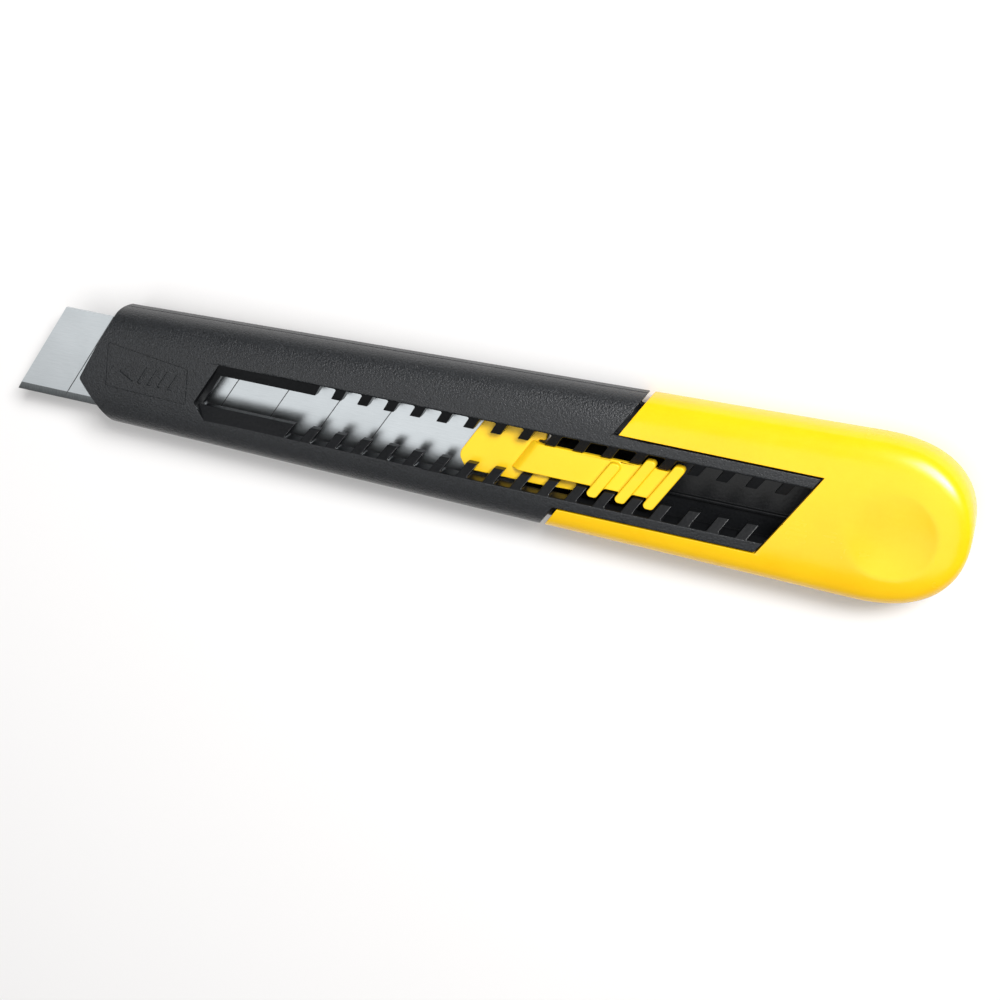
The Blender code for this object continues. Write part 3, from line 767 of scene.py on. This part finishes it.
def buildCap():
    form = handleForm("rear_cap_shell", 0.0, cap["front"], handleShape["Length"], cap["rings"], cap["points"],
                      capYellow, cap["crowd"], cap["dimpleDeep"])
    behind = band(casing["capFront"], past["bandRear"], -past["bandSide"], past["bandSide"])
    combine(form, prism("behind", behind, past["low"], past["high"], capYellow), "INTERSECT")
    # the socket takes the casing, and the lower pocket behind it lightens the end
    wall = casing["capWall"]
    socket = handleForm("socket", wall, cap["socketFront"], handleShape["Length"] - wall, cap["socketRings"],
                        cap["socketPoints"], capYellow, cap["socketCrowd"])
    for name, front, low in [("pocket_roof", cap["socketRear"], cap["pocketTop"]),
                             ("pocket_end", cap["pocketRear"], past["low"])]:
        outline = rectangle(front, past["rear"], -past["side"], past["side"])
        combine(socket, prism(name, outline, low, past["high"], capYellow))
    combine(form, settle(socket))
    half = casing["windowHalf"]
    window = band(casing["capFront"] - cap["windowAhead"], casing["windowRear"], -half, half)
    combine(form, prism("window", window, cap["windowLow"], past["high"], capYellow))
    soften(form, cap["edge"], cap["edgeSteps"])
    return settle(form, cap["smooth"])


capShell = buildCap()
print("cap built")


# blade

blade = {"reach": 16.0, "half": 9.0, "long": 100.0, "thick": 0.5, "bevel": 1.5, "hone": 0.28, "honeShare": 0.55,
         "honeTip": 0.6, "segment": 10.0, "scores": 7, "scoreWide": 0.2, "scoreDeep": 0.12, "scoreHalf": 12,
         "holeBack": 82.0, "holeRadius": 2.0, "cutHigh": 3, "bevelTilt": (0.3, 0.995), "smooth": 12}


def buildBlade():
    half, thick, bevel, hone = blade["half"], blade["thick"], blade["bevel"], blade["hone"]
    middle = thick / 2
    shelf = middle * (1 - hone / bevel) * blade["honeShare"] * blade["honeTip"]
    section = [(-half, -middle), (hone - half, shelf - middle), (bevel - half, 0), (half, 0), (half, -thick),
               (bevel - half, -thick), (hone - half, -middle - shelf)]
    corners = [at(slant * (spine + half) - blade["reach"], spine, up) for spine, up in section]
    strip = push("blade_strip", corners, (-blade["long"] * mm, 0, 0))
    strip.data.materials.append(groundSteel)
    strip.data.materials.append(honedSteel)
    low, high = blade["bevelTilt"]
    for polygon in strip.data.polygons:
        if low < abs(polygon.normal.z) < high:
            polygon.material_index = 1
    first = blade["segment"] - blade["reach"] + slant * half - blade["scoreWide"] / 2
    combine(strip, barRow("scores", first, blade["scores"], blade["segment"], blade["scoreWide"],
                          -blade["scoreHalf"], blade["scoreHalf"], -blade["scoreDeep"], blade["cutHigh"], scoreSteel))
    hole = circle(blade["holeBack"], 0, blade["holeRadius"])
    combine(strip, prism("hole", hole, -blade["cutHigh"], blade["cutHigh"], groundSteel))
    return settle(strip, blade["smooth"])


bladeStrip = buildBlade()
print("blade built")


# slider

slider = {
    "front": 75.4, "half": 5.1, "low": 0.3, "top": 1.2, "fork": 86.6, "lowerRear": 91.0, "upperRear": 89.6,
    "plateRadii": [0.8, 2.0, 1.0, 1.0, 0.6, 0.4, 0, 0.5, 0.9], "plateEdge": 0.22,
    "legRear": 95.8, "legTop": 0.55, "legInset": 0.05, "legRadii": [0, 0.8, 0.8, 0], "pegRadius": 1.6, "pegTop": 0.6,
    "armFront": 85.5, "armRear": 112.35, "armHalf": 2.8, "armLow": 1.5, "armTop": 2.6, "armEdge": 0.25,
    "ramp": [(0, 1.0), (0, 1.25), (0.5, 1.72), (1.1, 2.24)], "rampTop": 1.8, "bendLines": [3.2, 4.8, 6.6],
    "rampUnder": [(2.1, 1.5), (1.2, 1.0)], "edgeSteps": 3, "smooth": 40,
    "ribFront": 100.4, "ribWide": 2.2, "ribLow": 2.0, "ribTop": 3.8, "ribCorner": 0.7, "ribSteps": 5,
    "lugEnd": 4.35, "firstRibShort": 0.25,
    "hinge": 87.0, "bendAhead": 0.6, "bendBehind": 4.0, "bendUp": 1.9,
}


def buildPlate():
    half, inner, fork = slider["half"], slider["armHalf"] + casing["gap"], slider["fork"]
    front = pointed(slider["front"], half, 0, casing["noseTip"], casing["tipSlope"])[:3]
    outline = front + [(slider["lowerRear"], -half), (slider["lowerRear"], -inner), (fork - slant * inner, -inner),
                       (fork + slant * inner, inner), (slider["upperRear"], inner), (slider["upperRear"], half)]
    plate = prism("slider_plate", roundCorners(outline, slider["plateRadii"]), slider["low"], slider["top"],
                  sliderYellow)
    # the lower leg steps down behind the blade's end
    bladeEnd = slant * blade["half"] - blade["reach"] + blade["long"]
    leg = rectangle(bladeEnd + casing["gap"], slider["legRear"], slider["legInset"] - half,
                    -inner - slider["legInset"])
    combine(plate, prism("leg", roundCorners(leg, slider["legRadii"]), -blade["thick"], slider["legTop"],
                         sliderYellow), "UNION")
    peg = circle(blade["holeBack"], 0, slider["pegRadius"])
    combine(plate, prism("peg", peg, -blade["thick"], slider["pegTop"], sliderYellow), "UNION")
    soften(plate, slider["plateEdge"], slider["edgeSteps"])
    return settle(plate, slider["smooth"])


def buildArm():
    half, low, top = slider["armHalf"], slider["armLow"], slider["armTop"]
    start = slider["armFront"]
    # the arm rises from the plate in a short ramp, with a few lines across its root
    profile = [(start + run, up) for run, up in slider["ramp"]]
    profile += [(start + run, top) for run in [slider["rampTop"]] + slider["bendLines"]]
    profile += [(slider["armRear"], top), (slider["armRear"], low)]
    profile += [(start + run, low) for run in reversed(slider["bendLines"])]
    profile += [(start + run, up) for run, up in slider["rampUnder"]]
    corners = [at(back - slant * half, -half, up) for back, up in profile]
    arm = push("thumb_arm", corners, (-2 * slant * half * mm, -2 * half * mm, 0), sliderYellow)
    lug = slider["lugEnd"]
    for name, place, count, high in [("rib_first", 0, 1, half - slider["firstRibShort"]), ("rib_rest", 1, 2, lug)]:
        front = slider["ribFront"] + place * rack["pitch"]
        combine(arm, barRow(name, front, count, rack["pitch"], slider["ribWide"], -lug, high, slider["ribLow"],
                            slider["ribTop"], sliderYellow, slider["ribCorner"], slider["ribSteps"]), "UNION")
    soften(arm, slider["armEdge"], slider["edgeSteps"])
    return settle(arm, slider["smooth"])


plate = buildPlate()
arm = buildArm()
print("slider built")


# bodies

for piece, body, node, finish in [
        (frontShell, "handle", "front_casing", "casing_black"), (backShell, "handle", "back_casing", "casing_black"),
        (capShell, "cap", "rear_cap", "cap_yellow"), (bladeStrip, "slider", "blade", "blade_steel"),
        (plate, "slider", "slider_carriage", "slider_yellow")]:
    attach(piece, body)
    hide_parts(node)
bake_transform(arm)
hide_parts("thumb_tongue")
print("pieces put on their bodies")


# studio, in metres and watts

studio = {
    "floorTone": (0.86, 0.85, 0.845), "floorSize": 3.0, "floorRough": 0.9, "floorGloss": 0.1, "world": 0.16,
    "lights": [
        {"name": "overhead", "size": (0.86, 0.66), "power": 2.15, "place": (0.14, 0.14, 0.62),
         "target": (0.14, 0.14, 0)},
        {"name": "key", "size": (0.30, 0.30), "power": 7.2, "place": (-0.36, -0.47, 0.61), "target": (0, 0, 0.006)},
        {"name": "glint", "size": (0.12, 0.12), "power": 1.0, "place": (-0.47, -0.40, 0.56),
         "target": (-0.07, 0, 0.006)}],
}
view = {"lens": 60.7436, "sensor": 36, "nearest": 0.01, "place": (-0.08577667, -0.09793865, 0.27450376),
        "turn": (-0.3405, 0.3196, -3.0294)}


def linkToScene(name, data):
    made = bpy.data.objects.new(name, data)
    bpy.context.scene.collection.objects.link(made)
    return made


def buildFloor():
    bm = bmesh.new()
    bmesh.ops.create_grid(bm, x_segments=1, y_segments=1, size=studio["floorSize"])
    mesh = bpy.data.meshes.new("floor")
    bm.to_mesh(mesh)
    bm.free()
    paper, _, shader = newMaterial("paper")
    shader.inputs["Base Color"].default_value = (*studio["floorTone"], 1)
    shader.inputs["Roughness"].default_value = studio["floorRough"]
    shader.inputs["Specular IOR Level"].default_value = studio["floorGloss"]
    floor = newObject("floor", mesh, paper)


def buildLights():
    world = bpy.data.worlds.new("studio")
    bpy.context.scene.world = world
    world.use_nodes = True
    world.node_tree.nodes["Background"].inputs["Color"].default_value = (1, 1, 1, 1)
    world.node_tree.nodes["Background"].inputs["Strength"].default_value = studio["world"]
    for light in studio["lights"]:
        lamp = bpy.data.lights.new(light["name"], "AREA")
        lamp.shape = "RECTANGLE"
        lamp.size, lamp.size_y = light["size"]
        lamp.energy = light["power"]
        holder = linkToScene(light["name"], lamp)
        holder.location = light["place"]
        holder.rotation_mode = "QUATERNION"
        aim = Vector(light["target"]) - Vector(light["place"])
        holder.rotation_quaternion = aim.to_track_quat("-Z", "Y")


def buildCamera():
    lens = bpy.data.cameras.new("camera")
    lens.lens = view["lens"]
    lens.sensor_width = view["sensor"]
    lens.clip_start = view["nearest"]
    camera = linkToScene("camera", lens)
    camera.location = view["place"]
    camera.rotation_euler = view["turn"]
    bpy.context.scene.camera = camera
    bpy.context.scene.view_settings.view_transform = "Standard"


buildFloor()
buildLights()
buildCamera()
print("studio built")
